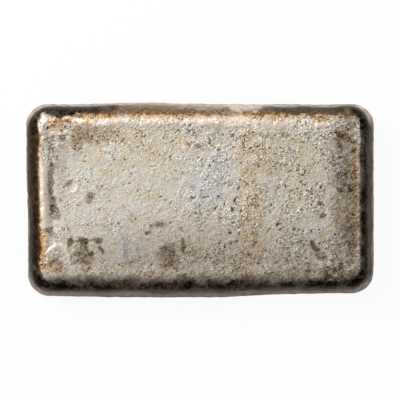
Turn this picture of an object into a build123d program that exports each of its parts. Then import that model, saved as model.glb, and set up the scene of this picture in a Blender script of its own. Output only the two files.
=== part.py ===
from build123d import *
import math
import os

# A cast silver bar. It lies on its wide pour face, with the smaller blank face that the mould's
# floor formed turned up. X runs along the bar, Y across it and Z up from the surface it lies on.

# Plan at the base: straight ends, long sides that bow outwards, round corners
LENGTH = 117.0
WIDTH = 65.7
BACK_BOW = 0.7
FRONT_BOW = 1.0

# Heights: a round lower edge, a drafted wall, then a rolled shoulder up to the crest round the face
HEIGHT = 13.8
BASE_ROUND = 0.8
SHOULDER_HEIGHT = 4.6
WALL_HEIGHT = HEIGHT - BASE_ROUND - SHOULDER_HEIGHT

# How far each side comes in, first up the wall and then over the shoulder
WALL_RUN = {"left": 1.5, "right": 1.9, "back": 1.4, "front": 2.2}
SHOULDER_RUN = {"left": 4.0, "right": 3.3, "back": 4.9, "front": 6.0}

# Corner radii at the foot of the wall, at its top and round the face
BASE_CORNER = 7.2
WALL_CORNER = 6.0
FACE_CORNER = 2.4

# Steps between the sections taken round the lower edge and over the shoulder
BASE_STEPS = 4
SHOULDER_STEPS = 4

# The face shrank as it cooled, so it lies a little below its crest
CREST = 0.8
SINK = 0.4
SINK_RUN = 3.0


def outline(height, inset, corner):
    """Closed outline at one height: straight ends, bowed long sides and round corners."""
    left = -LENGTH / 2 + inset["left"]
    right = LENGTH / 2 - inset["right"]
    back = WIDTH / 2 - BACK_BOW - inset["back"]
    front = -WIDTH / 2 + FRONT_BOW + inset["front"]
    middle = (left + right) / 2
    sides = [
        ThreePointArc((left, front), (middle, front - FRONT_BOW), (right, front)),
        Line((right, front), (right, back)),
        ThreePointArc((right, back), (middle, back + BACK_BOW), (left, back)),
        Line((left, back), (left, front)),
    ]
    plan = make_face(sides)
    return Pos(0, 0, height) * fillet(plan.vertices(), corner)


def base_section(turn):
    """Outline part way round the lower edge, which is a quarter circle."""
    inset = BASE_ROUND * (1 - math.sin(turn))
    height = BASE_ROUND * (1 - math.cos(turn))
    return outline(height, dict.fromkeys(WALL_RUN, inset), BASE_CORNER - inset)


def wall_section(share):
    """Outline part way up the drafted wall, which is straight."""
    inset = {side: run * share for side, run in WALL_RUN.items()}
    height = BASE_ROUND + WALL_HEIGHT * share
    return outline(height, inset, BASE_CORNER + (WALL_CORNER - BASE_CORNER) * share)


def roll_in(side, lift):
    """Share of a shoulder's run at a share of its height: an ellipse that leaves the wall smoothly."""
    lean = WALL_RUN[side] / WALL_HEIGHT * SHOULDER_HEIGHT / SHOULDER_RUN[side]
    start = lean / (1 - lean)
    rise = start + (1 - start) * lift
    return 1 - math.sqrt((1 - rise**2) / (1 - start**2))


def shoulder_section(turn):
    """Outline part way over the shoulder, from the top of the wall to the crest."""
    lift = math.sin(turn)
    inset = {side: run + SHOULDER_RUN[side] * roll_in(side, lift) for side, run in WALL_RUN.items()}
    height = BASE_ROUND + WALL_HEIGHT + SHOULDER_HEIGHT * lift
    return outline(height, inset, WALL_CORNER + (FACE_CORNER - WALL_CORNER) * (1 - math.cos(turn)))


def body():
    """The bar before its face shrank: lower edge, straight wall and shoulder, each a loft."""
    base = loft(
        [base_section(math.pi / 2 * step / BASE_STEPS) for step in range(BASE_STEPS + 1)], ruled=True
    )
    wall = loft([wall_section(0), wall_section(1)], ruled=True)
    shoulder = loft(
        [shoulder_section(math.pi / 2 * step / SHOULDER_STEPS) for step in range(SHOULDER_STEPS + 1)]
    )
    return base + wall + shoulder


def shrink_hollow():
    """What the shrinking face leaves empty: a tray that slopes in from the crest to a flat floor."""
    mouth = {side: run + SHOULDER_RUN[side] + CREST for side, run in WALL_RUN.items()}
    floor = {side: inset + SINK_RUN for side, inset in mouth.items()}
    above = {side: inset - SINK_RUN for side, inset in mouth.items()}
    return loft(
        [outline(HEIGHT - SINK, floor, FACE_CORNER), outline(HEIGHT + SINK, above, FACE_CORNER)],
        ruled=True,
    )


bar = body() - shrink_hollow()

os.makedirs("parts", exist_ok=True)
export_step(bar, "parts/ingot.step")
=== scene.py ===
import math
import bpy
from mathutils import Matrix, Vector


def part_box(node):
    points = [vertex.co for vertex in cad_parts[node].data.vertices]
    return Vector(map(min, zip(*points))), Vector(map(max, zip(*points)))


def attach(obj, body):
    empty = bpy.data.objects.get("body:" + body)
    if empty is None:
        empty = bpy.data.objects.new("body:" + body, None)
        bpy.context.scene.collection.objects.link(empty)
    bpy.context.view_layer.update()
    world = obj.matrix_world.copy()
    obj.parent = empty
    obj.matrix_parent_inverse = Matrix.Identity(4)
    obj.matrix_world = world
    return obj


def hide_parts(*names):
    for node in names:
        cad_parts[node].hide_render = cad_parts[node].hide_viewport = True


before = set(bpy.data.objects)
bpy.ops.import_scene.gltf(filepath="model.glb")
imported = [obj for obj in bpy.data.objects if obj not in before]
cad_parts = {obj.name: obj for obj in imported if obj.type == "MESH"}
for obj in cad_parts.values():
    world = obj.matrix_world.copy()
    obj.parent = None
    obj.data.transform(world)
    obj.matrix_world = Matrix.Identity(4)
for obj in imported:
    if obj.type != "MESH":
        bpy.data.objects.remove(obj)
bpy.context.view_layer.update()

from types import SimpleNamespace

import bpy
import numpy as np

# An old cast silver bar lies on its wide pour face, with the sunk face that the mould's floor formed
# turned up. X runs along the bar, Y across it and Z up. The skin is one closed surface: rings climb
# from the edge of the flat underside over the wall and the shoulder to the crest, and a grid fills the
# sunk face. Lengths are in millimetres until the mesh is made, and slants are in degrees from X.

MM = 0.001
BAR_LOW, BAR_HIGH = (np.array(corner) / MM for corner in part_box("ingot"))
LENGTH, WIDTH, HEIGHT = BAR_HIGH - BAR_LOW

# Room that the relief keeps inside the bar's box, on each side and above the crest
SIDE_ROOM = 0.1
CREST_ROOM = 0.3
TOP = HEIGHT - CREST_ROOM

# Section: a round lower edge, a drafted wall, a rolled shoulder, then the crest and the sunk face
BASE_ROUND = 0.8
SHOULDER_HEIGHT = 4.6
WALL_HEIGHT = TOP - BASE_ROUND - SHOULDER_HEIGHT
WALL_RUN = {"left": 1.5, "right": 1.9, "back": 1.4, "front": 2.2}
SHOULDER_RUN = {"left": 4.0, "right": 3.3, "back": 4.9, "front": 6.0}
CREST = 0.8
SINK = 0.4
SINK_RUN = 3.0

# Corner radii at the foot of the wall, at its top and round the crest
BASE_CORNER = 7.2
WALL_CORNER = 6.0
FACE_CORNER = 2.4

# Grid: rings in each stretch of the section, and columns and rows over the sunk face
EDGE_RINGS = 4
WALL_RINGS = 12
SHOULDER_RINGS = 20
SINK_RINGS = 13
COLUMNS = 324
ROWS = 148

# The mould's sides were not true: the back swells left of the middle, the front draws in towards the
# right and at its left end, and the left end leans in towards the front
BACK_SWELL = 0.55
BACK_SWELL_AT = -19.5
BACK_SWELL_REACH = 13.0
FRONT_BOW = 0.6
FRONT_BOW_AT = -6.0
FRONT_DRAW = 1.0
FRONT_DRAW_RUN = 38.0
LEFT_LEAN = 0.6
LEFT_LEAN_FROM = 12.0
LEFT_LEAN_RUN = 22.0

# Uneven ground over the whole skin: wave length and height, number of waves and how their lengths spread
SWELLS = ((16.0, 0.05), (5.0, 0.025))
PLANE_WAVES = 40
PACE_SPREAD = (0.7, 1.4)

# Rough walls: wave length and height
WALL_SWELL = (2.6, 0.035)

# Laps left on the walls as the metal rose in the mould: height, spacing, waver and its wave length
LAP_HEIGHT = 0.05
LAP_SPACING = 2.6
LAP_WAVER = 0.15
LAP_WAVE = 20.0

# Chilled ridges over the face: wave length and height, their slant, and how slants and lengths spread
RIDGES = ((2.1, 0.018), (1.15, 0.014))
RIDGE_SLANT = 48.0
RIDGE_SPREAD = 30.0
RIDGE_PACE_SPREAD = (0.6, 1.5)

# Silt between the finest ridges: how far down it starts and how dark it is
SILT_DEPTH = 0.6
SILT_DARKNESS = 0.14

# The face's left part is smoother, and it roughens towards the right and towards the back
SMOOTH_PART = 0.48
ROUGH_FROM = -22.0
ROUGH_RUN = 40.0
BACK_ROUGH_FROM = 12.0
BACK_ROUGH_RUN = 10.0

# Patches in that roughness: wave length and share, and the limits that they keep to
ROUGH_PATCHES = ((12.0, 0.22), (5.0, 0.22))
ROUGH_LIMITS = (0.4, 1.6)

# Where the clean right crest runs, past which there are no ridges or strewn pits, and how softly they end
RIGHT_CREST = 52.4
CREST_SOFTNESS = 1.0

# How far up the normal points where the face's relief is in full, and where the wall's look comes on
FACING_UP = 0.5
WALL_FACING = 0.75
WALL_FADE = 0.35

# Single pits and grooves in the face: x, y, half length, half width, slant, how dark the dirt in them is
PITS = (
    (-50.7, 23.8, 1.0, 0.45, 72, 1.00),
    (-46.1, 23.2, 0.6, 0.5, 0, 0.80),
    (-44.8, 24.3, 0.6, 0.5, 0, 0.75),
    (-43.1, 24.7, 0.5, 0.4, 0, 0.60),
    (-45.8, 26.0, 0.5, 0.4, 30, 0.60),
    (-44.9, 20.7, 0.5, 0.4, 60, 0.60),
    (-47.7, 26.4, 0.5, 0.4, 20, 0.80),
    (-49.2, 24.9, 0.4, 0.4, 0, 0.75),
    (-41.0, 25.6, 0.5, 0.4, 0, 0.80),
    (-43.9, 26.1, 0.4, 0.4, 0, 0.80),
    (-38.4, 12.9, 1.4, 0.3, 0, 0.30),
    (-44.6, 10.5, 0.6, 0.4, 0, 0.40),
    (-32.6, 4.5, 0.7, 0.4, 25, 0.75),
    (-34.0, 4.2, 0.5, 0.4, 0, 0.55),
    (-23.4, 5.5, 0.5, 0.5, 0, 0.70),
    (-25.4, 5.1, 0.5, 0.4, 0, 0.55),
    (-22.0, 10.9, 0.5, 0.5, 0, 0.45),
    (-22.9, 8.8, 0.6, 0.5, 0, 0.45),
    (-16.7, 2.8, 0.6, 0.5, 0, 0.55),
    (-20.6, 3.2, 0.6, 0.5, 60, 0.50),
    (-11.2, 0.0, 1.1, 0.4, 0, 0.45),
    (-5.7, 8.9, 0.9, 0.4, 75, 0.60),
    (3.1, 20.3, 0.6, 0.5, 0, 0.60),
    (14.6, 18.3, 4.0, 0.3, 88, 0.60),
    (-2.4, 0.7, 1.5, 0.4, 8, 0.75),
    (1.9, 0.9, 1.9, 0.4, 12, 0.75),
    (6.3, 1.1, 0.9, 0.5, -45, 0.75),
    (5.2, -2.7, 1.8, 0.4, 50, 0.75),
    (-0.1, -2.1, 1.2, 0.4, 85, 0.65),
    (8.2, -1.3, 1.2, 0.4, 70, 0.60),
    (11.6, 0.0, 1.3, 0.5, 58, 0.80),
    (10.8, -3.3, 0.8, 0.6, 60, 0.90),
    (13.6, -3.7, 0.7, 0.5, 20, 0.75),
    (17.3, -1.7, 0.9, 0.4, 50, 0.70),
    (12.9, 4.0, 1.1, 0.5, 80, 0.70),
    (13.7, 12.3, 0.6, 0.5, 0, 0.70),
    (19.5, 11.3, 0.6, 0.5, 0, 0.70),
    (22.2, 2.5, 0.6, 0.5, 80, 0.80),
    (29.8, 9.6, 1.2, 0.4, 5, 0.75),
    (33.8, 8.2, 0.6, 0.4, 45, 0.75),
    (32.5, 3.8, 0.8, 0.4, 25, 0.75),
    (30.2, 3.0, 0.9, 0.4, 50, 0.75),
    (40.2, 4.3, 0.8, 0.6, 45, 1.00),
    (43.0, 5.4, 0.6, 0.5, 45, 0.75),
    (30.3, 0.6, 0.9, 0.4, 0, 0.75),
    (23.7, -1.7, 0.6, 0.5, 45, 0.70),
    (25.9, -8.2, 1.1, 0.6, 40, 0.95),
    (26.7, -9.8, 0.7, 0.5, 60, 0.75),
    (23.0, -10.0, 1.6, 0.4, 50, 0.70),
    (31.5, -9.7, 0.7, 0.6, 0, 0.85),
    (33.0, -10.0, 0.7, 0.4, -15, 0.85),
    (34.3, -10.4, 0.7, 0.4, 45, 0.90),
    (30.6, -12.4, 0.6, 0.5, 45, 0.70),
    (34.6, -15.1, 1.1, 0.4, 65, 0.75),
    (10.0, -11.0, 0.8, 0.6, 0, 0.95),
    (13.1, -11.3, 0.6, 0.5, 0, 0.80),
    (6.6, -14.3, 1.4, 0.4, 65, 0.75),
    (8.3, -15.1, 1.3, 0.4, 78, 0.75),
    (12.4, -13.7, 1.1, 0.4, 10, 0.80),
    (10.4, -14.4, 0.8, 0.4, 60, 0.75),
    (16.3, -18.2, 0.8, 0.5, -10, 0.80),
    (18.0, -15.1, 1.0, 0.4, 55, 0.75),
    (19.5, -21.0, 0.6, 0.5, 0, 0.70),
    (-3.4, -12.4, 0.8, 0.4, 60, 0.60),
    (-6.2, -9.7, 1.5, 0.3, -50, 0.70),
    (-17.6, -11.4, 0.8, 0.5, -25, 0.80),
    (-16.2, -8.6, 1.2, 0.4, -18, 0.70),
    (-16.1, -21.6, 0.6, 0.5, 0, 0.75),
    (-27.0, -7.8, 0.7, 0.5, -50, 0.70),
    (44.9, -11.5, 0.6, 0.5, 0, 0.90),
    (51.0, -4.9, 0.7, 0.6, 20, 0.95),
    (52.0, 9.6, 0.6, 0.5, 0, 0.80),
    (51.8, 7.4, 0.8, 0.5, -20, 0.85),
    (51.3, -0.7, 1.1, 0.4, 0, 0.60),
    (39.7, 26.0, 0.7, 0.6, 0, 0.80),
    (-52.6, -21.6, 0.6, 0.5, 0, 1.00),
    (-44.0, -21.2, 0.6, 0.5, 0, 0.85),
    (-45.1, -23.0, 0.5, 0.4, 0, 0.75),
    (-46.3, -23.6, 0.5, 0.4, 0, 0.75),
    (-50.5, -24.4, 0.6, 0.4, 0, 0.75),
    (-48.6, -20.4, 0.6, 0.4, 0, 0.60),
    (-46.9, -21.6, 0.7, 0.4, 30, 0.70),
    (-49.6, -21.8, 0.6, 0.4, 0, 0.70),
    (-46.0, -19.0, 0.5, 0.4, 0, 0.45),
    (-48.4, -18.4, 0.7, 0.4, 50, 0.50),
)
PIT_STEEPNESS = 0.55
PIT_CORE = 0.45

# Small pits strewn over the face: cell size, largest half width, share of cells that hold one. The cells
# go on a little past the plan.
STREWN = ((2.4, 0.46, 0.36), (1.3, 0.30, 0.36))
WIDEST_STREWN = max(widest for _, widest, _ in STREWN)
BORDER_CELLS = 2

# Each strewn pit's width, length, slant and dirt, and how fast a smoother face thins them out
STREWN_NARROWEST = 0.45
STREWN_LONGEST = 2.2
STREWN_SLANT_SPREAD = 35.0
STREWN_DARKNESS = 0.75
STREWN_THINNING = 2.5

# A blown crater in the left part: its oval, its depth and how wide its mouth is
CRATER = (-42.4, 4.8, 2.2, 1.7, 70)
CRATER_DEPTH = 0.20
CRATER_MOUTH = 1.15

# The crater's uneven rim: height, place and width, then how much of the height is sure and how much wavers
RIM_HEIGHT = 0.08
RIM_AT = 1.1
RIM_WIDTH = 0.22
RIM_SURE = 0.8
RIM_WAVER = 0.5
RIM_WAVE = 1.6

# A flat scab of metal near the front left corner: its oval, height and ragged edge
SCAB = (-47.0, -19.4, 4.3, 4.9, 0)
SCAB_HEIGHT = 0.28
SCAB_EDGE = 1.05
SCAB_EDGE_RUN = 0.14
SCAB_RAGGED = 0.08
SCAB_WAVE = 3.0

# Lips along the crest and the scars' rims: half width, height, brightness and path. Their brightness is
# partly wear and partly a painted highlight, strongest on the left and back crests that face the lamp.
# The brightness passes one where a stain dulls the lip.
LIPS = (
    (0.95, 0.26, 1.00, ((-52.0, 28.1), (-51.6, 26.2), (-52.1, 24.2), (-52.3, 22.6))),
    (0.50, 0.18, 2.20, (
        (-50.3, 21.3), (-49.4, 22.4), (-47.5, 22.4), (-45.2, 22.4), (-43.0, 23.9), (-41.7, 25.0),
        (-39.9, 25.7), (-38.6, 26.2),
    )),
    (0.50, 0.12, 1.70, ((-47.4, 25.0), (-45.6, 25.4))),
    (0.45, 0.12, 1.70, ((-42.2, 26.4), (-39.4, 26.9))),
    (0.45, 0.12, 1.70, ((-50.0, 26.6), (-48.2, 27.2))),
    (0.45, 0.12, 1.60, ((-48.8, 23.6), (-47.4, 23.4))),
    (0.40, 0.10, 1.80, ((-45.4, 27.2), (-43.4, 27.5))),
    (0.40, 0.10, 1.80, ((-50.4, 25.0), (-49.7, 25.5))),
    (0.40, 0.10, 1.80, ((-46.9, 23.5), (-46.0, 23.8))),
    (0.40, 0.10, 1.80, ((-44.4, 24.8), (-43.4, 25.1))),
    (0.30, 0.10, 0.35, ((-44.3, 19.8), (-43.4, 21.5), (-42.1, 21.8), (-40.8, 21.2), (-40.4, 20.3))),
    (0.45, 0.16, 0.55, ((-52.5, 22.0), (-52.6, 17.0), (-52.5, 11.5))),
    (0.40, 0.12, 0.45, ((-50.9, 20.0), (-50.9, 16.0), (-51.2, 11.0))),
    (1.45, 0.24, 0.86, ((-52.0, 10.0), (-51.9, 2.0), (-51.6, -4.0), (-51.2, -8.5))),
    (0.60, 0.16, 0.60, ((-51.2, -10.0), (-51.2, -16.0), (-50.9, -21.0))),
    (0.60, 0.06, 0.90, (
        (-50.6, -17.2), (-49.2, -15.2), (-47.2, -14.6), (-45.2, -15.6), (-44.2, -17.4), (-43.3, -20.9),
    )),
    (0.50, 0.06, 0.90, ((-44.3, -20.9), (-43.5, -21.9))),
    (0.40, 0.12, 0.60, ((-43.9, -22.6), (-45.1, -24.0), (-47.5, -24.8), (-49.9, -25.0))),
    (0.35, 0.12, 0.80, ((-41.6, -11.9), (-39.8, -11.5), (-37.8, -12.4))),
    (0.35, 0.04, 0.50, ((-43.4, 3.4), (-42.4, 3.0), (-41.2, 3.4), (-40.7, 4.6))),
    (1.70, 0.20, 0.88, ((-37.0, 25.5), (-12.0, 25.4), (6.0, 25.4))),
    (0.40, 0.14, 1.00, ((-30.0, 26.3), (-25.9, 26.3))),
    (0.45, 0.14, 1.00, ((-24.8, 25.2), (-19.0, 24.9), (-13.2, 25.2))),
    (0.40, 0.16, 1.00, ((-3.9, 25.2), (0.5, 25.5), (6.1, 26.0))),
    (2.30, 0.02, 0.95, ((9.0, 25.3), (17.0, 25.1))),
    (1.50, 0.22, 0.95, ((9.0, 24.2), (17.0, 24.2))),
    (2.00, 0.02, 0.76, ((16.0, 25.1), (30.0, 25.1), (46.0, 25.0))),
    (1.40, 0.18, 0.60, ((16.0, 24.2), (30.0, 24.2), (46.0, 24.2))),
    (0.26, 0.10, 0.45, ((52.4, 18.0), (52.6, -20.0))),
)

# How much of a lip's height is sure and how much wavers, then the same of its brightness
LIP_SURE = 0.85
LIP_WAVER = 0.2
LIP_WAVE = 5.0
LIP_SHINE = 0.92
LIP_PATCHES = 0.15
LIP_FLECKS = 0.08

# Powers that give a band along a path a round or a flat top
ROUND_TOP = 2
FLAT_TOP = 4

# A gutter inside the left crest: half width, depth and path
GUTTER = (1.1, 0.18, ((-49.5, 19.0), (-49.6, 5.0), (-48.8, -9.0)))

# Copper-edged tarnish begins past these lines, and plain blackening past the others: direction, distance
# from the middle, softness, darkness and raggedness
TARNISH_EDGES = (
    (181, 53.3, 0.85, 0.92, 0.35),
    (90, 28.1, 0.80, 0.50, 0.35),
    (135, 58.6, 0.80, 0.92, 0.40),
)
BLACK_EDGES = (
    (0, 53.1, 0.40, 1.00, 0.12),
    (270, 25.9, 2.00, 1.00, 0.80),
    (269, 26.1, 2.00, 1.00, 0.80),
    (45, 56.8, 1.30, 1.00, 0.50),
    (225, 54.8, 1.20, 1.00, 0.50),
    (315, 53.8, 2.00, 1.00, 0.50),
)

# Ends of the back wall that are blackened too: x, y, half length, half width, slant, darkness
BLACKENED = (
    (-45.0, 32.8, 20.0, 5.2, 2, 1.00),
    (37.0, 32.4, 18.0, 4.2, 0, 0.95),
)
BLACKENED_SOFTNESS = 0.45
BLACKENED_RAGGED = 0.5

# Where the black is deepest: x, y, half length, half width, slant, by how much
DEEPENED = (
    (-54.6, -25.5, 4.0, 1.5, -60, 0.90),
    (-48.0, -28.5, 9.0, 1.6, -3, 0.90),
    (5.0, -28.8, 46.0, 1.2, 0, 0.55),
    (46.0, -28.0, 9.0, 1.5, 4, 0.80),
    (53.0, -26.0, 4.5, 1.6, 55, 0.90),
    (54.9, 0.0, 25.0, 1.0, 90, 0.60),
    (53.6, 26.0, 4.5, 1.8, -50, 0.90),
    (-54.3, 25.2, 4.5, 1.7, 50, 0.80),
    (-41.0, 29.6, 14.0, 1.2, 2, 0.40),
    (-55.2, -19.0, 10.0, 1.1, 90, 0.70),
)
DEEPENED_SOFTNESS = 0.8
DEEPENED_TARNISH = 0.12

# The walls' feet are rubbed bare: the share left bright, the foot's height and the run that it fades over
FOOT_BRIGHT = {"front": 0.28, "back": 0.54, "ends": 0.23}
FOOT_HEIGHT = {"front": 4.2, "back": 3.8, "ends": 1.4}
FOOT_RUN = 4.6

# Feet are brighter and higher at the corners, and sides and ends begin this far from the middle
CORNER_BRIGHT = 0.06
CORNER_HEIGHT = 2.0
SIDE_FROM = 24.0
END_FROM = 49.0
SIDE_SPREAD = 5.0

# Runs down the walls are drawn out upright. The feet waver, and runs and flecks break them up.
DRAWN_OUT = np.array([1.0, 1.0, 0.5])
FOOT_WAVER = 0.8
FOOT_WAVE = 9.0
RUN_WAVE = 3.0
FOOT_RUNS = 0.16
FOOT_FLECKS = 0.06

# The walls are less gritty than the face, and so is worn metal
WALL_GRIT = 0.40
WEAR_SMOOTHING = 0.6

# Places on the walls that the tarnish spared: x, y, half length, half width, slant, share left bright
SPARED = (
    (14.4, 32.8, 6.6, 3.7, 0, 0.75),
    (10.5, 28.6, 4.0, 1.2, 0, 0.25),
    (2.0, 31.8, 9.0, 1.8, 0, 0.24),
)
SPARED_SOFTNESS = 0.35
SPARED_PATCHES = 0.15

# Straw and copper stains: x, y, half length, half width, slant, depth of colour
STAINS = (
    (-53.3, 18.0, 5.0, 0.8, 90, 0.24),
    (-52.3, -17.4, 7.4, 1.2, 90, 0.26),
    (-51.4, -22.6, 2.2, 1.4, 70, 0.24),
    (-47.4, 26.4, 3.8, 1.5, -5, 0.20),
    (-48.0, 24.2, 2.8, 1.6, 0, 0.15),
    (-43.0, 25.6, 4.4, 1.8, -15, 0.15),
    (-40.0, 22.4, 7.0, 2.2, 5, 0.08),
    (-34.0, 27.8, 8.0, 0.9, 0, 0.24),
    (-14.0, 28.0, 16.0, 0.8, 0, 0.16),
    (24.0, 27.6, 8.0, 0.9, 0, 0.22),
    (40.5, 27.4, 4.0, 1.0, 0, 0.30),
    (51.2, 10.0, 8.0, 0.8, 90, 0.24),
    (51.0, -4.0, 5.0, 0.8, 90, 0.20),
    (-48.6, -22.0, 2.2, 1.4, 30, 0.10),
    (-43.0, -16.4, 1.4, 0.6, 60, 0.22),
)
STAIN_DULLING = 2.0

# Brown grime in crisp patches: x, y, half length, half width, slant, darkness
GRIME = (
    (-43.1, -14.2, 2.2, 0.8, 60, 0.75),
    (-39.4, -14.0, 2.3, 1.4, -45, 0.85),
    (-37.6, -16.2, 1.4, 0.8, -45, 0.60),
    (-38.6, -18.2, 4.6, 3.4, -35, 0.42),
    (-38.4, -21.2, 2.8, 1.6, 0, 0.26),
    (-40.6, -17.9, 1.2, 1.0, 0, 0.55),
    (-36.4, -17.6, 1.3, 1.1, 0, 0.60),
    (-39.2, -19.6, 1.6, 0.9, 0, 0.40),
    (-41.4, -20.9, 0.8, 0.7, 0, 0.35),
    (-33.0, -13.9, 1.7, 1.0, -15, 0.75),
    (-32.8, -16.5, 1.5, 0.7, -50, 0.72),
    (-48.2, -20.8, 2.2, 1.6, -20, 0.46),
    (-47.0, -18.2, 1.4, 0.8, 40, 0.20),
    (-5.7, -15.8, 2.8, 0.55, 88, 0.66),
    (-2.4, -17.2, 2.2, 2.2, 0, 0.20),
    (37.7, -14.8, 1.9, 1.1, -60, 0.72),
    (39.2, -17.4, 2.4, 1.2, -55, 0.30),
    (40.4, -19.2, 1.6, 1.1, -30, 0.40),
    (40.9, -5.1, 1.1, 0.8, 20, 0.70),
    (40.0, -1.3, 1.0, 0.7, 0, 0.62),
    (46.1, 3.6, 1.5, 0.9, -40, 0.65),
    (49.8, 3.2, 0.8, 0.7, 0, 0.65),
    (47.2, 20.6, 2.6, 1.7, -20, 0.50),
    (46.3, 21.3, 1.4, 0.9, -20, 0.65),
    (48.7, 20.1, 1.3, 0.9, 10, 0.60),
    (46.3, 18.9, 1.0, 0.8, 0, 0.50),
    (46.8, 17.5, 1.1, 0.8, 0, 0.50),
    (51.0, 16.1, 0.9, 0.8, 0, 0.62),
    (46.8, 14.2, 1.2, 0.45, 0, 0.85),
    (49.2, -11.0, 2.6, 3.2, 0, 0.30),
    (44.3, -22.7, 3.2, 1.1, 0, 0.28),
    (46.0, -26.3, 2.2, 1.1, 8, 0.95),
    # This one lies in the valley inside the left crest and is partly painted shade on its inner slope, which
    # faces away from the lamp
    (-49.4, 5.0, 6.5, 1.0, 90, 0.50),
    (-48.4, -0.6, 2.8, 1.2, 75, 0.62),
    (-47.2, -5.2, 2.0, 1.0, 80, 0.45),
    (-50.0, -9.8, 1.4, 1.0, 30, 0.60),
    (-48.0, -12.0, 1.8, 0.9, -30, 0.30),
    (-36.7, 0.9, 1.9, 1.2, 80, 0.58),
    (-49.2, 20.5, 1.4, 1.3, 90, 0.45),
    (-43.6, 6.0, 1.3, 0.6, 50, 0.40),
    (-14.8, -8.2, 2.4, 1.4, 10, 0.62),
    (-10.4, -18.2, 2.6, 3.6, -8, 0.20),
    (-17.2, -10.7, 1.0, 0.8, 0, 0.50),
    (-0.6, 18.0, 0.9, 0.7, 0, 0.45),
    (-4.0, 18.6, 0.9, 0.5, 0, 0.45),
    (-2.6, 3.9, 1.5, 1.0, -30, 0.22),
    (-35.0, -8.3, 7.0, 0.3, 2, 0.14),
    (-23.0, -5.2, 2.6, 0.3, 0, 0.30),
    (-30.0, 4.0, 4.5, 0.3, 4, 0.15),
)
GRIME_SOFTNESS = 0.6

# Rims of the marks: how ragged they are, and the half widths between which they are the most ragged
MARK_RAGGED = 0.5
RAGGED_FROM = 1.2
RAGGED_TO = 2.0

# Waves that rims are ragged with: wave length and share of the coarse, the middling and the fine ones
RAGGED = ((6.0, 0.50), (2.4, 0.35), (1.0, 0.35))

# Soft brown darkening over wide stretches: x, y, half length, half width, slant, darkness. It darkens the
# face towards the front and along the right end, and in the valley inside the left crest it is partly
# painted shade.
SOFT_DARKENING = (
    (48.0, 22.0, 16.0, 4.5, 90, 0.30),
    (49.9, -2.0, 24.0, 5.4, 90, 0.48),
    (51.2, -2.0, 22.0, 2.4, 90, 0.30),
    (43.5, -23.6, 6.0, 2.0, 0, 0.45),
    (-10.6, -18.8, 3.0, 4.2, -8, 0.55),
    (33.0, -24.0, 6.0, 1.6, 0, 0.25),
    (4.0, -30.0, 54.0, 19.0, 0, 0.40),
    # These two, in the valley inside the left crest, are partly painted shade on its inner slope, which
    # faces away from the lamp
    (-49.6, 6.0, 12.0, 1.1, 90, 0.30),
    (-46.8, 7.0, 10.0, 1.9, 90, 0.16),
    (-36.0, 21.6, 12.0, 2.6, 0, 0.20),
    (-40.5, 21.6, 7.0, 3.2, 10, 0.34),
    (-45.0, 16.0, 5.0, 4.0, 0, 0.12),
    (34.0, 4.0, 18.0, 18.0, 0, 0.07),
)
SOFT_DARKENING_SOFTNESS = 1.3

# Dark specks strewn over the rougher part of the face: wave length, how rare, how clumped and how dark
SPECK_LENGTH = 1.0
SPECK_RARITY = 1.25
SPECK_CLUMPS = 0.4
SPECK_DARKNESS = 0.25

# Clouds of tint, from bluish below nought to yellowish above it: x, y, half length, half width, slant, tint
CLOUDS = (
    (17.0, 1.0, 20.0, 3.6, 90, 0.72),
    (-24.0, 19.0, 18.0, 8.0, 0, 0.45),
    (-46.0, 12.0, 5.0, 8.0, 0, -0.25),
    (28.0, 14.0, 14.0, 9.0, 0, 0.40),
    (4.0, 6.0, 8.0, 6.8, 40, -0.60),
    (46.5, 9.5, 3.0, 3.6, 0, -0.70),
    (-39.0, 9.5, 3.2, 1.8, 0, -0.40),
    (-26.0, -16.0, 6.4, 5.6, 0, -0.30),
    (36.0, -14.0, 9.6, 6.4, 0, -0.20),
)
CLOUD_SOFTNESS = 1.2
CLOUD_RAGGED = 0.3

# Uneven tint all over: the share of the coarse waves, and the wave length and share of smaller ones
COARSE_TINT = 0.14
TINT_SWELL = (3.6, 0.16)

# Bluish scuffs near the front: half width, darkness and path
SCUFFS = (
    (0.80, 0.20, ((-24.4, -13.2), (-25.2, -16.4), (-24.6, -20.4), (-22.8, -22.4))),
    (0.60, 0.12, ((-21.4, -15.4), (-20.6, -17.6), (-20.5, -19.4))),
)
SCUFF_PATCHES = 0.3
SCUFF_BLUE = 4.0

# Camera: straight above, so far off that the bar fills as much of a square frame as it should
CAMERA_HEIGHT = 1000.0
SENSOR = 36.0
FRAME_PIXELS = 400
BAR_PIXELS = 347.3

# Studio: a pale floor, a soft even surround and one soft key lamp from the upper left
FLOOR_SIZE = 10.0
FLOOR_DROP = 0.00005
FLOOR_COLOUR = (0.92, 0.92, 0.92, 1)
FLOOR_WHITE = 0.92
SURROUND = 0.45
KEY_PLACE = (-0.33, 0.30, 0.44)
KEY_SIZE = 0.30
KEY_WATTS = 2.8

# Keeps the bend of a square corner from a division by nought
TINY = 1e-6


def smooth(share):
    """A soft step: the share held between nought and one, squared, times three less twice itself."""
    held = np.clip(share, 0, 1)
    return held * held * (3 - 2 * held)


def step_across(share):
    """A soft step with its middle at nought, from half a unit before it to half a unit past it."""
    return smooth(share + 0.5)


def rolled(side, lift):
    """How far in the shoulder has come at each share of its height, along part of an ellipse.

    The ellipse starts where its slope is the wall's own lean, so the wall runs into it without a crease.
    """
    lean = WALL_RUN[side] / WALL_HEIGHT * SHOULDER_HEIGHT / SHOULDER_RUN[side]
    start = lean / (1 - lean)
    rise = start + (1 - start) * lift
    return 1 - np.sqrt((1 - rise ** 2) / (1 - start ** 2))


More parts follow.
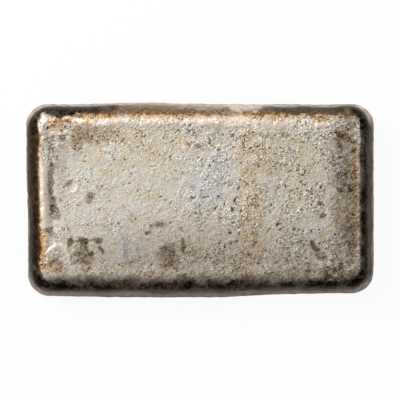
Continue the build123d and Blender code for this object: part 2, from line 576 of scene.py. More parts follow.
def section():
    """Height, corner radius and inset of every ring, from the underside's edge to the sunk face.

    Round the lower edge the ring follows a quarter circle. The wall is straight. Over the shoulder the
    height grows as a sine and the inset as the rolled ellipse, and past the crest a soft step sinks.
    """
    edge = np.linspace(0, math.pi / 2, EDGE_RINGS, endpoint=False)
    wall = np.linspace(0, 1, WALL_RINGS, endpoint=False)
    roll = np.linspace(0, math.pi / 2, SHOULDER_RINGS, endpoint=False)
    sink = np.linspace(0, 1, SINK_RINGS)
    height = np.concatenate([
        BASE_ROUND * (1 - np.cos(edge)),
        BASE_ROUND + WALL_HEIGHT * wall,
        TOP - SHOULDER_HEIGHT * (1 - np.sin(roll)),
        TOP - SINK * smooth(sink),
    ])
    corner = np.concatenate([
        BASE_CORNER - BASE_ROUND * (1 - np.sin(edge)),
        BASE_CORNER + (WALL_CORNER - BASE_CORNER) * wall,
        WALL_CORNER + (FACE_CORNER - WALL_CORNER) * (1 - np.cos(roll)),
        FACE_CORNER * (1 - sink),
    ])
    inset = {
        side: np.concatenate([
            BASE_ROUND * (1 - np.sin(edge)),
            WALL_RUN[side] * wall,
            WALL_RUN[side] + SHOULDER_RUN[side] * rolled(side, np.sin(roll)),
            WALL_RUN[side] + SHOULDER_RUN[side] + (CREST + SINK_RUN) * sink,
        ])
        for side in WALL_RUN
    }
    return height, corner, inset


def ring_side(half, corner, count):
    """One side of every ring, from the middle of one corner to the middle of the next.

    Points are spaced evenly along a straight run with an eighth of a circle at each end. It gives how far
    each point lies along the side from its middle, and how far the corner has drawn it in.
    """
    straight = (half - corner)[:, None]
    radius = corner[:, None]
    walk = (straight + radius * math.pi / 4) * np.linspace(-1, 1, count, endpoint=False)
    bend = np.clip(np.abs(walk) - straight, 0, None) / np.maximum(radius, TINY)
    along = np.sign(walk) * (np.minimum(np.abs(walk), straight) + radius * np.sin(bend))
    return along, radius * (1 - np.cos(bend))


def plain_rings():
    """The rings' points before the mould's faults, as an array of rings by points by x, y and z.

    Each ring is a rectangle with round corners, walked anticlockwise from the front left corner. The last
    ring has square corners, so a plain grid fits inside it. The rectangle's limits come with the points.
    """
    height, corner, inset = section()
    left = SIDE_ROOM - LENGTH / 2 + inset["left"]
    right = LENGTH / 2 - SIDE_ROOM - inset["right"]
    front = SIDE_ROOM - WIDTH / 2 + inset["front"]
    back = WIDTH / 2 - SIDE_ROOM - inset["back"]
    long_way, long_drop = ring_side((right - left) / 2, corner, COLUMNS)
    short_way, short_drop = ring_side((back - front) / 2, corner, ROWS)
    middle_x = (left + right)[:, None] / 2
    middle_y = (front + back)[:, None] / 2
    x = np.hstack([
        middle_x + long_way, right[:, None] - short_drop, middle_x - long_way, left[:, None] + short_drop,
    ])
    y = np.hstack([
        front[:, None] + long_drop, middle_y + short_way, back[:, None] - long_drop, middle_y - short_way,
    ])
    z = np.broadcast_to(height[:, None], x.shape)
    return np.stack([x, y, z], axis=2), (left[-1], right[-1], front[-1], back[-1])


def face_grid(limits):
    """The sunk face's points inside the last ring, evenly spaced columns by rows, as a flat array."""
    left, right, front, back = limits
    x = np.linspace(left, right, COLUMNS + 1)[1:-1]
    y = np.linspace(front, back, ROWS + 1)[1:-1]
    across, along = np.meshgrid(y, x, indexing="ij")
    return np.stack([along, across, np.full_like(along, TOP - SINK)], axis=2).reshape(-1, 3)


def untrue(points):
    """The mould's faults in plan, which move each point the more the further out it lies.

    The back loses its swell away from one place, by a bell. The front loses its bow on either side of its
    peak, by a parabola, and draws in along a soft step. The left end leans in along a soft step.
    """
    x, y, z = (points[..., axis] for axis in range(3))
    back_share = np.clip(y / (WIDTH / 2), 0, 1)
    front_share = np.clip(-y / (WIDTH / 2), 0, 1)
    left_share = np.clip(-x / (LENGTH / 2), 0, 1)
    bell = np.exp(-((x - BACK_SWELL_AT) / BACK_SWELL_REACH) ** 2)
    far_end = np.where(x < FRONT_BOW_AT, LENGTH / 2 + FRONT_BOW_AT, LENGTH / 2 - FRONT_BOW_AT)
    bow = ((x - FRONT_BOW_AT) / far_end) ** 2
    draw_in = FRONT_BOW * bow + FRONT_DRAW * smooth(x / FRONT_DRAW_RUN)
    lean_in = LEFT_LEAN * smooth((LEFT_LEAN_FROM - y) / LEFT_LEAN_RUN)
    moved_y = y - BACK_SWELL * (1 - bell) * back_share + draw_in * front_share
    return np.stack([x + lean_in * left_share, moved_y, z], axis=-1)


def outward(rings):
    """Each ring point's unit normal: the step along the ring crossed with the step to the next ring."""
    along = np.roll(rings, -1, axis=1) - np.roll(rings, 1, axis=1)
    across = np.gradient(rings, axis=0)
    normal = np.cross(along, across)
    return normal / np.linalg.norm(normal, axis=2, keepdims=True)


def swell(points, length, seed):
    """Uneven ground of unit spread: a sum of cosines of about one wave length in random directions."""
    random = np.random.default_rng(seed)
    direction = random.normal(size=(PLANE_WAVES, 3))
    direction /= np.linalg.norm(direction, axis=1, keepdims=True)
    direction *= 2 * math.pi / length * random.uniform(*PACE_SPREAD, (PLANE_WAVES, 1))
    phase = random.uniform(0, 2 * math.pi, PLANE_WAVES)
    return np.cos(points @ direction.T + phase).sum(axis=1) * math.sqrt(2 / PLANE_WAVES)


def ridged(x, y, length, seed):
    """Ridges of unit spread along one slant: a sum of cosines that run nearly straight across it."""
    random = np.random.default_rng(seed)
    turn = np.radians(RIDGE_SLANT + 90 + random.normal(0, RIDGE_SPREAD, PLANE_WAVES))
    pace = 2 * math.pi / length * random.uniform(*RIDGE_PACE_SPREAD, PLANE_WAVES)
    phase = random.uniform(0, 2 * math.pi, PLANE_WAVES)
    waves = np.outer(x, pace * np.cos(turn)) + np.outer(y, pace * np.sin(turn)) + phase
    return np.cos(waves).sum(axis=1) * math.sqrt(2 / PLANE_WAVES)


def oval(x, y, middle_x, middle_y, half_long, half_short, slant):
    """How far out each point lies in a slanted oval: nought at its middle and one on its rim."""
    turn = np.radians(slant)
    along = (x - middle_x) * np.cos(turn) + (y - middle_y) * np.sin(turn)
    across = (y - middle_y) * np.cos(turn) - (x - middle_x) * np.sin(turn)
    return np.hypot(along / half_long, across / half_short)


def dent(reach):
    """A round-bottomed dent as a share of its depth: one less the reach squared, squared, inside the rim."""
    return np.clip(1 - reach ** 2, 0, None) ** 2


def band(x, y, half_width, path, top):
    """A band along straight runs: e to the minus the top's power of the distance in half widths."""
    nearest = np.full_like(x, np.inf)
    for (start_x, start_y), (end_x, end_y) in zip(path, path[1:]):
        run_x = end_x - start_x
        run_y = end_y - start_y
        share = ((x - start_x) * run_x + (y - start_y) * run_y) / (run_x ** 2 + run_y ** 2)
        held = np.clip(share, 0, 1)
        nearest = np.minimum(nearest, np.hypot(x - start_x - held * run_x, y - start_y - held * run_y))
    return np.exp(-(nearest / half_width) ** top)


def strewn(x, y, cell, widest, share, seed):
    """Small oval pits on a jittered grid: their share of depth, and their half width there.

    Square cells cover the plan, and some of them hold one pit with its own place, width and slant. A point
    takes the deepest of the pits in its own cell and in the eight cells round it.
    """
    random = np.random.default_rng(seed)
    shape = (int(WIDTH / cell) + 2 * BORDER_CELLS, int(LENGTH / cell) + 2 * BORDER_CELLS)
    held = random.random(shape)
    pit_x = (np.arange(shape[1]) - BORDER_CELLS + random.random(shape)) * cell - LENGTH / 2
    pit_y = ((np.arange(shape[0]) - BORDER_CELLS)[:, None] + random.random(shape)) * cell - WIDTH / 2
    short = widest * random.uniform(STREWN_NARROWEST, 1, shape)
    long = short * random.uniform(1, STREWN_LONGEST, shape)
    slant = RIDGE_SLANT + random.normal(0, STREWN_SLANT_SPREAD, shape)
    column = np.floor((x + LENGTH / 2) / cell).astype(int) + BORDER_CELLS
    row = np.floor((y + WIDTH / 2) / cell).astype(int) + BORDER_CELLS
    deepest = np.zeros_like(x)
    width = np.zeros_like(x)
    for step_row in (-1, 0, 1):
        for step_column in (-1, 0, 1):
            near = (row + step_row, column + step_column)
            reach = oval(x, y, pit_x[near], pit_y[near], long[near], short[near], slant[near])
            depth = dent(reach) * (held[near] < share)
            width = np.where(depth > deepest, short[near], width)
            deepest = np.maximum(deepest, depth)
    return deepest, width


def roughened(points):
    """How rough the face is: soft steps up to its right and back parts, made patchy by two swells."""
    x, y, _ = points.T
    part = np.maximum(smooth((x - ROUGH_FROM) / ROUGH_RUN), smooth((y - BACK_ROUGH_FROM) / BACK_ROUGH_RUN))
    patches = np.ones_like(x)
    for seed, (length, share) in enumerate(ROUGH_PATCHES, start=41):
        patches += share * swell(points, length, seed)
    return (SMOOTH_PART + (1 - SMOOTH_PART) * part) * np.clip(patches, *ROUGH_LIMITS)


def pitting(x, y, rough, clear):
    """How deep the pits go, and how dark the dirt in them is: the most of the placed and the strewn pits."""
    sunk = np.zeros_like(x)
    dirt = np.zeros_like(x)
    for *spot, darkness in PITS:
        half_width = spot[3]
        share = dent(oval(x, y, *spot))
        sunk = np.maximum(sunk, PIT_STEEPNESS * half_width * share)
        dirt = np.maximum(dirt, darkness * smooth(share / PIT_CORE))
    for seed, (cell, widest, held) in enumerate(STREWN, start=31):
        share, width = strewn(x, y, cell, widest, held * rough ** STREWN_THINNING, seed)
        darkness = STREWN_DARKNESS * width / WIDEST_STREWN
        sunk = np.maximum(sunk, PIT_STEEPNESS * width * share * clear)
        dirt = np.maximum(dirt, darkness * smooth(share / PIT_CORE) * clear)
    return sunk, dirt


def cast_forms(points):
    """How far the crater, the scab and the lips stand out of the face, less the gutter's depth.

    The crater is a dent in a bell-shaped rim. The scab ends in a soft step, and the highest lip counts.
    """
    x, y, _ = points.T
    reach = oval(x, y, *CRATER)
    rim = np.exp(-((reach - RIM_AT) / RIM_WIDTH) ** 2)
    rim *= RIM_SURE + RIM_WAVER * swell(points, RIM_WAVE, seed=52)
    crater = RIM_HEIGHT * rim - CRATER_DEPTH * dent(reach / CRATER_MOUTH)
    edge = oval(x, y, *SCAB) + SCAB_RAGGED * swell(points, SCAB_WAVE, seed=51)
    scab = SCAB_HEIGHT * smooth((SCAB_EDGE - edge) / SCAB_EDGE_RUN)
    uneven = LIP_SURE + LIP_WAVER * swell(points, LIP_WAVE, seed=61)
    raised = np.zeros_like(x)
    for half_width, height, _, path in LIPS:
        raised = np.maximum(raised, height * uneven * band(x, y, half_width, path, ROUND_TOP))
    half_width, depth, path = GUTTER
    return crater + scab + raised - depth * band(x, y, half_width, path, ROUND_TOP)


def relief(points, facing_up, rough):
    """How far the skin stands out at each point, and how much dirt lies in its hollows.

    It sums the swells over the whole skin, laps up the walls as a sine of the height, and on what faces up
    the ridges, the pits and the cast forms. Dirt lies in the pits and between the ridges.
    """
    x, y, z = points.T
    ground = sum(
        height * swell(points, length, seed) for seed, (length, height) in enumerate(SWELLS, start=11)
    )
    waver = LAP_WAVER * swell(points, LAP_WAVE, seed=13)
    laps = LAP_HEIGHT * np.sin(2 * math.pi * (z / LAP_SPACING + waver))
    length, height = WALL_SWELL
    laps += height * swell(points, length, seed=14)
    clear = smooth((RIGHT_CREST + CREST_SOFTNESS - x) / (2 * CREST_SOFTNESS))
    waves = [ridged(x, y, length, seed) for seed, (length, _) in enumerate(RIDGES, start=21)]
    ridges = rough * clear * sum(height * wave for (_, height), wave in zip(RIDGES, waves))
    silt = SILT_DARKNESS * smooth(-SILT_DEPTH - waves[-1]) * np.minimum(rough, 1) * clear
    sunk, dirt = pitting(x, y, rough, clear)
    standing = ground * np.minimum(rough, 1) + laps * (1 - facing_up)
    standing += facing_up * (ridges + cast_forms(points) - sunk)
    return standing, np.maximum(dirt, silt) * facing_up


def covered(layers):
    """What layers cover between them: one less the product of what each of them leaves bare."""
    return 1 - np.prod([1 - layer for layer in layers], axis=0)


def gathered(x, y, marks, ragged, softness):
    """Ragged oval marks laid over one another, each of which gives way across its rim by a soft step.

    The rims of narrow marks and of very wide ones are less ragged than the others.
    """
    layers = []
    for *spot, amount in marks:
        half_width = spot[3]
        waver = MARK_RAGGED * ragged * min(1.0, half_width / RAGGED_FROM, RAGGED_TO / half_width)
        layers.append(amount * step_across((1 - oval(x, y, *spot) + waver) / softness))
    return covered(layers)


def past_edges(x, y, edges, ragged):
    """How dark the points past straight lines are: the darkest of a soft step across each line."""
    darkest = np.zeros_like(x)
    for direction, distance, softness, darkness, raggedness in edges:
        turn = math.radians(direction)
        past = x * math.cos(turn) + y * math.sin(turn) - distance + raggedness * ragged
        darkest = np.maximum(darkest, darkness * step_across(past / (2 * softness)))
    return darkest


def bare_feet(points):
    """How bare the wall's foot is: a soft step down the wall, with the front's, back's or ends' own height.

    The step's height wavers along the wall by a swell that is drawn out upright.
    """
    x, y, z = points.T
    z = z + FOOT_WAVER * swell(points * DRAWN_OUT, FOOT_WAVE, seed=76)
    front = smooth((-y - SIDE_FROM) / SIDE_SPREAD)
    back = smooth((y - SIDE_FROM) / SIDE_SPREAD)
    corner = (front + back) * smooth((np.abs(x) - END_FROM) / SIDE_SPREAD)
    shares = {"front": front, "back": back, "ends": 1 - front - back}
    return sum(
        share * (FOOT_BRIGHT[side] + CORNER_BRIGHT * corner)
        * smooth((FOOT_HEIGHT[side] + CORNER_HEIGHT * corner + FOOT_RUN - z) / FOOT_RUN)
        for side, share in shares.items()
    )


def rubbed_and_highlit(points, ragged, waves):
    """How bright the metal is rubbed, with the lips' painted highlight: the most of the spared places, the
    walls' feet and the lips.
    """
    x, y, _ = points.T
    coarse, middling, fine = waves
    runs = swell(points * DRAWN_OUT, RUN_WAVE, seed=77)
    spared = gathered(x, y, SPARED, ragged, SPARED_SOFTNESS) * (1 + SPARED_PATCHES * middling)
    bright = np.maximum(spared, bare_feet(points) * (1 + FOOT_RUNS * runs + FOOT_FLECKS * fine))
    # The lips' brightness is partly wear and partly a painted highlight
    uneven = LIP_SHINE + LIP_PATCHES * coarse + LIP_FLECKS * fine
    for half_width, _, brightness, path in LIPS:
        bright = np.maximum(bright, brightness * band(x, y, half_width, path, FLAT_TOP) * uneven)
    return bright


def colouring(points, dirt, rough, wall):
    """What the finish reads at each point: tarnish, black, grime with some painted shade, tint, wear with
    some painted highlight, grit and how much it is wall.

    They run from nought to one, but black reaches two where it is deepest, the tint goes down to minus one,
    and grit passes one on the roughest patches.
    """
    x, y, _ = points.T
    waves = [swell(points, length, seed) for seed, (length, _) in enumerate(RAGGED, start=71)]
    coarse, middling, _ = waves
    ragged = sum(share * wave for (_, share), wave in zip(RAGGED, waves))
    stains = gathered(x, y, STAINS, ragged, GRIME_SOFTNESS)
    deepened = gathered(x, y, DEEPENED, ragged, DEEPENED_SOFTNESS)
    tarnish = np.maximum(stains, past_edges(x, y, TARNISH_EDGES, ragged)) * (1 + DEEPENED_TARNISH * deepened)
    ends = gathered(x, y, BLACKENED, BLACKENED_RAGGED * ragged, BLACKENED_SOFTNESS)
    black = np.maximum(past_edges(x, y, BLACK_EDGES, ragged), ends) * (1 + deepened)
    specks = smooth(swell(points, SPECK_LENGTH, seed=74) + SPECK_CLUMPS * middling - SPECK_RARITY)
    scuffs = [
        darkness * band(x, y, half_width, path, FLAT_TOP) for half_width, darkness, path in SCUFFS
    ]
    scuffed = np.max(scuffs, axis=0) * (1 + SCUFF_PATCHES * middling)
    # Grime, soft darkening, specks, pit dirt and scuffs; inside the left crest part of it is painted shade
    grime = covered([
        gathered(x, y, GRIME, ragged, GRIME_SOFTNESS),
        gathered(x, y, SOFT_DARKENING, ragged, SOFT_DARKENING_SOFTNESS),
        SPECK_DARKNESS * specks * np.minimum(rough, 1) ** 2,
        dirt,
        scuffed,
    ])
    length, share = TINT_SWELL
    tint = COARSE_TINT * coarse + share * swell(points, length, seed=75) - SCUFF_BLUE * scuffed
    for *spot, amount in CLOUDS:
        tint += amount * step_across((1 - oval(x, y, *spot) + CLOUD_RAGGED * ragged) / CLOUD_SOFTNESS)
    # Wear and the lips' painted highlight, dulled where grime, painted shade and stains lie
    bright = rubbed_and_highlit(points, ragged, waves) * (1 - grime) * (1 - STAIN_DULLING * stains)
    wear = np.clip(bright, 0, 1)
    return {
        "tarnish": np.clip(tarnish, 0, 1),
        "black": np.clip(black, 0, 2),
        "grime": np.clip(grime, 0, 1),
        "tint": np.clip(tint, -1, 1),
        "wear": wear,
        "grit": rough * (1 - WEAR_SMOOTHING * wear) * (1 - (1 - WALL_GRIT) * wall),
        "wall": wall,
    }


def skin_faces(ring_count):
    """The skin's faces: quads between the rings and over the face's grid, then those of the flat underside.

    The underside's quads join each point of the front edge to the one behind it, and the two end strips
    join each point of an end to the one as far from its other corner. A triangle closes each strip.
    """
    around = 2 * (COLUMNS + ROWS)
    here = np.arange(around)
    after = np.roll(here, -1)
    start = (np.arange(ring_count - 1) * around)[:, None]
    rings = np.stack([start + here, start + after, start + around + after, start + around + here], axis=2)

    top = (ring_count - 1) * around
    grid = np.empty((ROWS + 1, COLUMNS + 1), int)
    grid[0, :-1] = top + here[:COLUMNS]
    grid[:-1, -1] = top + here[COLUMNS:COLUMNS + ROWS]
    grid[-1, :0:-1] = top + here[COLUMNS + ROWS:2 * COLUMNS + ROWS]
    grid[:0:-1, 0] = top + here[2 * COLUMNS + ROWS:]
    grid[1:-1, 1:-1] = ring_count * around + np.arange((ROWS - 1) * (COLUMNS - 1)).reshape(ROWS - 1, -1)
    face = np.stack([grid[:-1, :-1], grid[:-1, 1:], grid[1:, 1:], grid[1:, :-1]], axis=2)

    front = np.arange(COLUMNS + 1)
    back = (2 * COLUMNS + ROWS - front) % around
    middle = np.stack([front[1:], front[:-1], back[:-1], back[1:]], axis=1)
    half = ROWS // 2
    near = np.arange(half - 1)
    strips = ((COLUMNS, COLUMNS + ROWS), (2 * COLUMNS + ROWS, around))
    ends = [
        np.stack([first + near + 1, first + near, last - near, last - near - 1], axis=1) % around
        for first, last in strips
    ]
    tips = [[first + half, first + half - 1, first + half + 1] for first, _ in strips]
    sides = np.concatenate([rings.reshape(-1, 4), face.reshape(-1, 4)])
    return sides.tolist(), np.concatenate([middle, *ends]).tolist() + tips


def shown(name, data):
    """A new object of that name and data in the scene."""
    made = bpy.data.objects.new(name, data)
    bpy.context.scene.collection.objects.link(made)
    return made


def ingot_skin():
    """The bar's skin as one mesh object: plain rings and grid, made untrue, then moved out by the relief."""
    rings, limits = plain_rings()
    rings = untrue(rings)
    grid = untrue(face_grid(limits))
    normal = np.concatenate([outward(rings).reshape(-1, 3), np.tile([0.0, 0.0, 1.0], (len(grid), 1))])
    points = np.concatenate([rings.reshape(-1, 3), grid])
    facing_up = smooth(normal[:, 2] / FACING_UP)
    wall = smooth((WALL_FACING - normal[:, 2]) / WALL_FADE)
    rough = roughened(points)
    standing, dirt = relief(points, facing_up, rough)
    standing *= smooth(points[:, 2] / BASE_ROUND)
    colours = colouring(points, dirt, rough, wall)
    points = np.clip(points + normal * standing[:, None], BAR_LOW, BAR_HIGH)

    sides, underside = skin_faces(len(rings))
    mesh = bpy.data.meshes.new("ingot_skin")
    mesh.from_pydata(points * MM, [], sides + underside)
    mesh.polygons.foreach_set("use_smooth", np.arange(len(sides) + len(underside)) < len(sides))
    for name, values in colours.items():
        mesh.attributes.new(name, "FLOAT", "POINT").data.foreach_set("value", values.astype(np.float32))
    mesh.update()
    return shown("ingot_skin", mesh)


def place(tree, kind, inputs=(), **settings):
    """Adds a node, gives it its settings, then fills its inputs, by name or number, with values or links."""
    made = tree.nodes.new(kind)
    for name, value in settings.items():
        setattr(made, name, value)
    for key, value in dict(inputs).items():
        filling = value.socket if isinstance(value, Value) else value
        if isinstance(filling, bpy.types.NodeSocket):
            tree.links.new(filling, made.inputs[key])
        else:
            made.inputs[key].default_value = filling
    return made


# The middle of a noise's range, where most of it lies
NOISE_LOW = 0.3
NOISE_HIGH = 0.7


class Value:
    """A shader value. Sums, differences and products of it with others or with numbers are Math nodes."""

    def __init__(self, tree, socket):
        self.tree = tree
        self.socket = socket

    def figure(self, operation, first, second):
        """A Math node's result, from values, links or numbers."""
        made = place(self.tree, "ShaderNodeMath", {0: first, 1: second}, operation=operation)
        return Value(self.tree, made.outputs[0])

    def __add__(self, other):
        return self.figure("ADD", self, other)

    def __sub__(self, other):
        return self.figure("SUBTRACT", self, other)

    def __rsub__(self, other):
        return self.figure("SUBTRACT", other, self)

    def __mul__(self, other):
        return self.figure("MULTIPLY", self, other)

    def at_least(self, other):
        return self.figure("MAXIMUM", self, other)

    def at_most(self, other):
        return self.figure("MINIMUM", self, other)

    def stretched(self, low, high, from_low=NOISE_LOW, from_high=NOISE_HIGH):
        """The value spread over the range from low to high, if not told otherwise from a noise's middle."""
        made = place(self.tree, "ShaderNodeMapRange", {
            "Value": self,
            "From Min": from_low,
            "From Max": from_high,
            "To Min": low,
            "To Max": high,
        })
        return Value(self.tree, made.outputs["Result"])


def bare_material(name):
    """A new material with an empty node tree, and that tree."""
    material = bpy.data.materials.new(name)
    material.use_nodes = True
    material.node_tree.nodes.clear()
    return material, material.node_tree


def mixed(tree, share, first, second, way="MIX"):
    """A colour Mix node from the first colour to the second. Its colour sockets are 6, 7 and 2."""
    inputs = {0: share, 6: first, 7: second}
    return place(tree, "ShaderNodeMix", inputs, data_type="RGBA", blend_type=way).outputs[2]


def drawn_out(tree, where, stretch, slant=0.0):
    """Coordinates stretched along X, Y and Z and turned about Z, for noise that has a run to it."""
    inputs = {"Vector": where, "Rotation": (0, 0, math.radians(slant)), "Scale": stretch}
    return place(tree, "ShaderNodeMapping", inputs, vector_type="TEXTURE").outputs["Vector"]


def grain(tree, where, size, detail):
    """Noise with features of about a size in millimetres, from nought to one."""
    inputs = {"Vector": where, "Scale": 1 / (size * MM), "Detail": detail, "Roughness": GRAIN_ROUGHNESS}
    return Value(tree, place(tree, "ShaderNodeTexNoise", inputs).outputs["Fac"])


def hollow(tree, where, smoothness, cell, core, rim):
    """Crisp little pits, one where the skin passes near a cell's point, from nought outside to one within.

    The smoother the face is, the nearer the point has to be, so that fewer and smaller pits are left.
    """
    inputs = {"Vector": where, "Scale": 1 / (cell * MM), "Randomness": 1.0}
    away = Value(tree, place(tree, "ShaderNodeTexVoronoi", inputs).outputs["Distance"])
    return (away + smoothness * rim).stretched(1.0, 0.0, core, rim)


# Colour of the tarnish as it deepens, from bare metal over straw and copper to black
TARNISH_RAMP = (
    (0.00, (0.738, 0.690, 0.607, 1)),
    (0.14, (0.765, 0.580, 0.380, 1)),
    (0.28, (0.670, 0.405, 0.200, 1)),
    (0.42, (0.345, 0.215, 0.120, 1)),
    (0.56, (0.172, 0.122, 0.080, 1)),
    (0.76, (0.078, 0.047, 0.026, 1)),
    (0.90, (0.034, 0.019, 0.009, 1)),
    (1.00, (0.008, 0.004, 0.002, 1)),
)

# Colours laid over the tarnish, some of which only tint what is under them
BLACK_COLOUR = (0.007, 0.004, 0.0025, 1)
BROWN_BLACK = (0.170, 0.125, 0.088, 1)
GRIME_AND_SHADE_COLOUR = (0.096, 0.055, 0.027, 1)
GRIME_AND_SHADE_TINT = (1.00, 0.88, 0.74, 1)
WORN_AND_HIGHLIT_SILVER = (0.92, 0.78, 0.645, 1)
OCHRE = (0.40, 0.28, 0.12, 1)
PIT_BROWN = (0.170, 0.096, 0.030, 1)
BLUISH = (0.90, 0.98, 1.11, 1)
YELLOWISH = (0.985, 0.905, 0.77, 1)

# Noise in the finish: the size of its features and how many finer layers it has
COARSE_GRAIN = (1.4, 3)
FINE_GRAIN = (0.42, 1)
RIDGE_GRAIN = (0.31, 1)
STREAK_GRAIN = (1.7, 2)
SOOT_GRAIN = (4.5, 2)
OCHRE_SPECKS = (0.6, 1)
OCHRE_CLOUDS = (5.0, 2)
GRAIN_ROUGHNESS = 0.6

# How far noise is drawn out: along its slant on the face, and upright on the walls
RIDGE_STRETCH = 1.5
GRAIN_SLANT = 28.0
STREAK_STRETCH = 2.2

# Little pits in the finish: cell size, and their core and rim as shares of it. The rare ones spare no part.
PIT_CELLS = ((1.2, 0.16, 0.24), (2.4, 0.11, 0.16))
RARE_PITS = (3.0, 0.07, 0.105)

# How the tarnish is broken up: fast as it begins, slowly less as it deepens, then the share of each noise
BREAK_RISE = 3.0
BREAK_START = 0.06
BREAK_FALL = 0.6
BREAK_MOST = 0.8
COARSE_BREAK = 0.45
COARSE_START = 0.2
RUN_BREAK = 0.45
RAMP_SHIFT = 0.02

# How the black frays and fades out, how much soot is in its mottle, and how much darker it is at its deepest
BLACK_FRAY = 0.5
BLACK_FADE = 8.0
SOOT_SHARE = 0.35
DEEPEST_BLACK = 0.10

# Ranges that values are spread to: low and high, and where given the values that they are spread from
OCHRE_SPECK_RANGE = (0.0, 0.7, 0.54, 0.72)
OCHRE_CLOUD_RANGE = (0.1, 1.0, 0.42, 0.60)
OCHRE_FADE = (1.0, 0.0, 0.0, 0.6)
GRIME_AND_SHADE_RANGE = (0.45, 1.55)
BLACK_RANGE = (0.0, 1.0, 0.10, 0.92)
BROWN_RANGE = (0.0, 1.0, 0.40, 0.60)
GRIT_RANGE = (0.30, 1.70)
RIDGE_GRAIN_AND_GLINTS = (-0.45, 0.49)
DULLNESS = (0.62, 0.76)
CRUST_RANGE = (0.0, 1.0, 0.40, 0.70)

# How far wear with its painted highlight and pits hide what is under them, and how much smoother worn metal
# and the walls are
WEAR_AND_HIGHLIGHT_COVER = 0.85
PIT_COVER = 0.7
WALL_CALM = 0.45
WEAR_POLISH = 0.18
WALL_POLISH = 0.20

# How much less metallic crust is, and how much of that the walls give back
CRUST_DULLING = 0.85
WALL_METAL = 0.20

# Bump: its height in millimetres, and the share of the grain and the depth of the little pits in it
BUMP_HEIGHT = 0.17
GRAIN_BUMP = 0.3
PIT_BUMP = 1.5


def readings(tree):
    """What the finish is made from: the skin's own values, and noise in object coordinates."""
    read = SimpleNamespace(**{
        name: Value(tree, place(tree, "ShaderNodeAttribute", attribute_name=name).outputs["Fac"])
        for name in ("tarnish", "black", "grime", "tint", "wear", "grit", "wall")
    })
    where = place(tree, "ShaderNodeTexCoord").outputs["Object"]
    upright = drawn_out(tree, where, (1, 1, STREAK_STRETCH))
    slanted = drawn_out(tree, where, (RIDGE_STRETCH, 1, 1), GRAIN_SLANT)
    read.coarse = grain(tree, where, *COARSE_GRAIN)
    read.fine = grain(tree, where, *FINE_GRAIN)
    read.ridges = grain(tree, slanted, *RIDGE_GRAIN)
    read.streaks = grain(tree, upright, *STREAK_GRAIN)
    read.soot = grain(tree, upright, *SOOT_GRAIN)
    read.speckled = read.coarse * 0.5 + read.fine * 0.5
    read.calm = 1.0 - read.wall * WALL_CALM
    read.patchy = read.grit * read.coarse.stretched(*GRIT_RANGE)
    specks = grain(tree, where, *OCHRE_SPECKS).stretched(*OCHRE_SPECK_RANGE)
    clouds = grain(tree, where, *OCHRE_CLOUDS).stretched(*OCHRE_CLOUD_RANGE)
    read.ochre = specks * clouds * read.tarnish.stretched(*OCHRE_FADE)
    smoothness = (1.0 - read.grit).at_least(0.0)
    read.pitted = hollow(tree, slanted, 0.0, *RARE_PITS)
    for cells in PIT_CELLS:
        read.pitted = read.pitted.at_least(hollow(tree, slanted, smoothness, *cells))
    return read


def tarnish_colour(tree, read):
    """The tarnish's colour on its ramp. Grain, flecks and upright runs move it up and down the ramp."""
    broken = (read.tarnish * BREAK_RISE + BREAK_START).at_most(read.tarnish * -BREAK_FALL + BREAK_MOST)
    ragged = (read.coarse - 0.5) * COARSE_BREAK * (broken + COARSE_START).at_most(1.0)
    flecks = (read.fine - 0.5) * (broken * read.calm)
    runs = (read.streaks - 0.5) * read.tarnish * RUN_BREAK
    moved = ragged + flecks - RAMP_SHIFT + runs
    ramp = place(tree, "ShaderNodeValToRGB", {"Fac": read.tarnish + moved})
    stops = ramp.color_ramp.elements
    while len(stops) < len(TARNISH_RAMP):
        stops.new(1.0)
    for stop, (position, colour) in zip(stops, TARNISH_RAMP):
        stop.position = position
        stop.color = colour
    return ramp.outputs["Color"]


def black_crust(tree, read):
    """The black crust: how far it covers what is under it, and its colour, mottled from black to brown."""
    frayed = (read.coarse + read.fine - 1.0) * BLACK_FRAY
    cover = (read.black + frayed).stretched(*BLACK_RANGE) * (read.black * BLACK_FADE).at_most(1.0)
    mottled = read.speckled * (1 - SOOT_SHARE) + read.soot * SOOT_SHARE
    deepest = (read.black - 1.0).at_least(0.0) * DEEPEST_BLACK
    mottled = (mottled - 0.5) * read.calm + 0.5 - deepest
    return cover, mixed(tree, mottled.stretched(*BROWN_RANGE), BLACK_COLOUR, BROWN_BLACK)


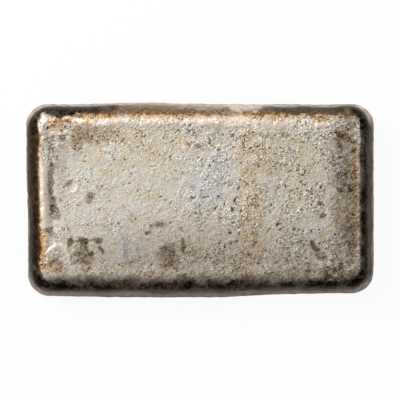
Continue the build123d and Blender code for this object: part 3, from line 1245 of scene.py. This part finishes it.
def silver_finish():
    """Old cast silver: layers over the tarnish, laid on by the skin's own values and broken up by grain.

    Ochre specks and grime, partly painted shade, come first, then the black crust, the tint, bare silver
    where it is worn, partly a painted highlight, and the brown of little pits. The grain tones it all, with
    painted glints and shade, and makes the bump. Crust is less metallic.
    """
    material, tree = bare_material("old_cast_silver")
    read = readings(tree)
    grime_and_shade_share = read.grime * read.speckled.stretched(*GRIME_AND_SHADE_RANGE)
    crust_cover, crust_colour = black_crust(tree, read)
    # Grain tone with painted glints and shade: the ridges' noise that makes the bump lightens the colour
    # where it is high and darkens it where it is low
    grain_and_glints = read.ridges.stretched(*RIDGE_GRAIN_AND_GLINTS) * read.patchy + 1.0
    grain_and_glints = place(tree, "ShaderNodeCombineColor", dict.fromkeys(range(3), grain_and_glints)).outputs["Color"]
    colour = tarnish_colour(tree, read)
    for share, layer, way in (
        (read.ochre, OCHRE, "MIX"),
        (grime_and_shade_share, GRIME_AND_SHADE_TINT, "MULTIPLY"),
        (grime_and_shade_share, GRIME_AND_SHADE_COLOUR, "MIX"),
        (crust_cover, crust_colour, "MIX"),
        (read.tint.at_least(0.0), YELLOWISH, "MULTIPLY"),
        ((read.tint * -1.0).at_least(0.0), BLUISH, "MULTIPLY"),
        # Worn silver, partly a painted highlight on the lips
        (read.wear * WEAR_AND_HIGHLIGHT_COVER, WORN_AND_HIGHLIT_SILVER, "MIX"),
        (read.pitted * PIT_COVER, PIT_BROWN, "MIX"),
        (1.0, grain_and_glints, "MULTIPLY"),
    ):
        colour = mixed(tree, share, colour, layer, way)

    crust = read.tarnish.stretched(*CRUST_RANGE).at_least(crust_cover) * (1.0 - read.wear)
    height = (read.fine * GRAIN_BUMP + read.coarse * GRAIN_BUMP + read.ridges) * read.patchy
    bump = place(tree, "ShaderNodeBump", {
        "Strength": 1.0,
        "Distance": BUMP_HEIGHT * MM,
        "Height": height - read.pitted * PIT_BUMP,
    })
    shader = place(tree, "ShaderNodeBsdfPrincipled", {
        "Base Color": colour,
        "Metallic": 1.0 - crust * (CRUST_DULLING - read.wall * WALL_METAL),
        "Specular IOR Level": 0.0,
        "Roughness": read.coarse.stretched(*DULLNESS) - read.wear * WEAR_POLISH - read.wall * WALL_POLISH,
        "Normal": bump.outputs["Normal"],
    })
    place(tree, "ShaderNodeOutputMaterial", {"Surface": shader.outputs["BSDF"]})
    return material


def pale_floor():
    """A plain pale floor: mostly white to the camera and to reflections, so that it shows a faint shadow."""
    half = FLOOR_SIZE / 2
    corners = [(x, y, -FLOOR_DROP) for x, y in ((-half, -half), (half, -half), (half, half), (-half, half))]
    mesh = bpy.data.meshes.new("floor")
    mesh.from_pydata(corners, [], [(0, 1, 2, 3)])
    material, tree = bare_material("pale_floor")
    rays = place(tree, "ShaderNodeLightPath").outputs
    seen = Value(tree, rays["Is Camera Ray"]).at_least(rays["Is Glossy Ray"])
    seen = seen.at_least(rays["Is Transmission Ray"])
    matt = place(tree, "ShaderNodeBsdfDiffuse", {"Color": FLOOR_COLOUR}).outputs[0]
    white = place(tree, "ShaderNodeEmission", {"Strength": 1.0}).outputs[0]
    shader = place(tree, "ShaderNodeMixShader", {0: seen * FLOOR_WHITE, 1: matt, 2: white})
    place(tree, "ShaderNodeOutputMaterial", {"Surface": shader.outputs[0]})
    mesh.materials.append(material)
    floor = shown("floor", mesh)


def studio_light():
    """An even surround, and one soft square lamp that looks at the bar."""
    world = bpy.data.worlds.new("surround")
    world.use_nodes = True
    background = world.node_tree.nodes["Background"].inputs
    background["Color"].default_value = (1, 1, 1, 1)
    background["Strength"].default_value = SURROUND
    bpy.context.scene.world = world
    lamp = bpy.data.lights.new("key_lamp", "AREA")
    lamp.energy = KEY_WATTS
    lamp.size = KEY_SIZE
    key = shown("key_lamp", lamp)
    key.location = KEY_PLACE
    key.rotation_euler = (-key.location).to_track_quat("-Z", "Y").to_euler()


def overhead_camera():
    """A camera straight above the bar, with the lens that gives the bar its share of the frame's width."""
    data = bpy.data.cameras.new("camera")
    data.sensor_width = SENSOR
    data.lens = SENSOR * CAMERA_HEIGHT / (LENGTH * FRAME_PIXELS / BAR_PIXELS)
    camera = shown("camera", data)
    camera.location = (0, 0, CAMERA_HEIGHT * MM)
    bpy.context.scene.camera = camera


bpy.context.scene.view_settings.view_transform = "Standard"
overhead_camera()
studio_light()
pale_floor()

skin = ingot_skin()
skin.data.materials.append(silver_finish())
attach(skin, "root")
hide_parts("ingot")
